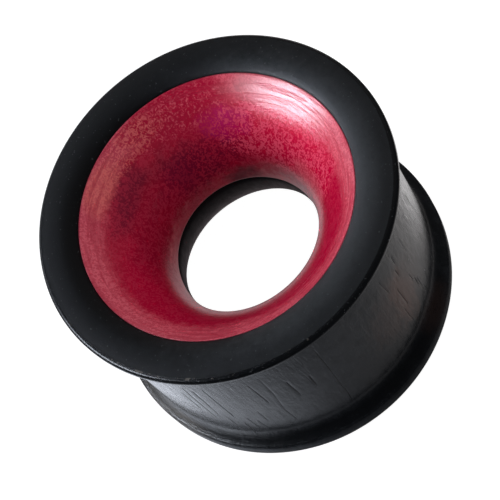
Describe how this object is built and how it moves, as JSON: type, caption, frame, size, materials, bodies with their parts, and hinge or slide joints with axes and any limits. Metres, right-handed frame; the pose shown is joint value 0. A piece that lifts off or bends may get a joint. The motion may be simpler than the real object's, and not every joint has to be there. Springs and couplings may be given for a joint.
{
  "type": "ear tunnel",
  "caption": "Double-flared ear tunnel: a short black hardwood spool with a flared bore through it, lined at the front with crimson-dyed wood.",
  "frame": {"origin": "centre of the circle that the rear rim stands on", "axes": "+Z along the bore, from the rear rim to the dyed front face; the part is round about Z"},
  "size_m": [0.0216, 0.0216, 0.0141],
  "materials": {
    "black_wood": "black hardwood, fine grain along the axis, hand polished to a soft satin",
    "dyed_wood": "pale wood dyed crimson, finely mottled, polished satin"
  },
  "bodies": {
    "root": {"wood_body": "black_wood", "dyed_inlay": "dyed_wood"}
  },
  "joints": []
}
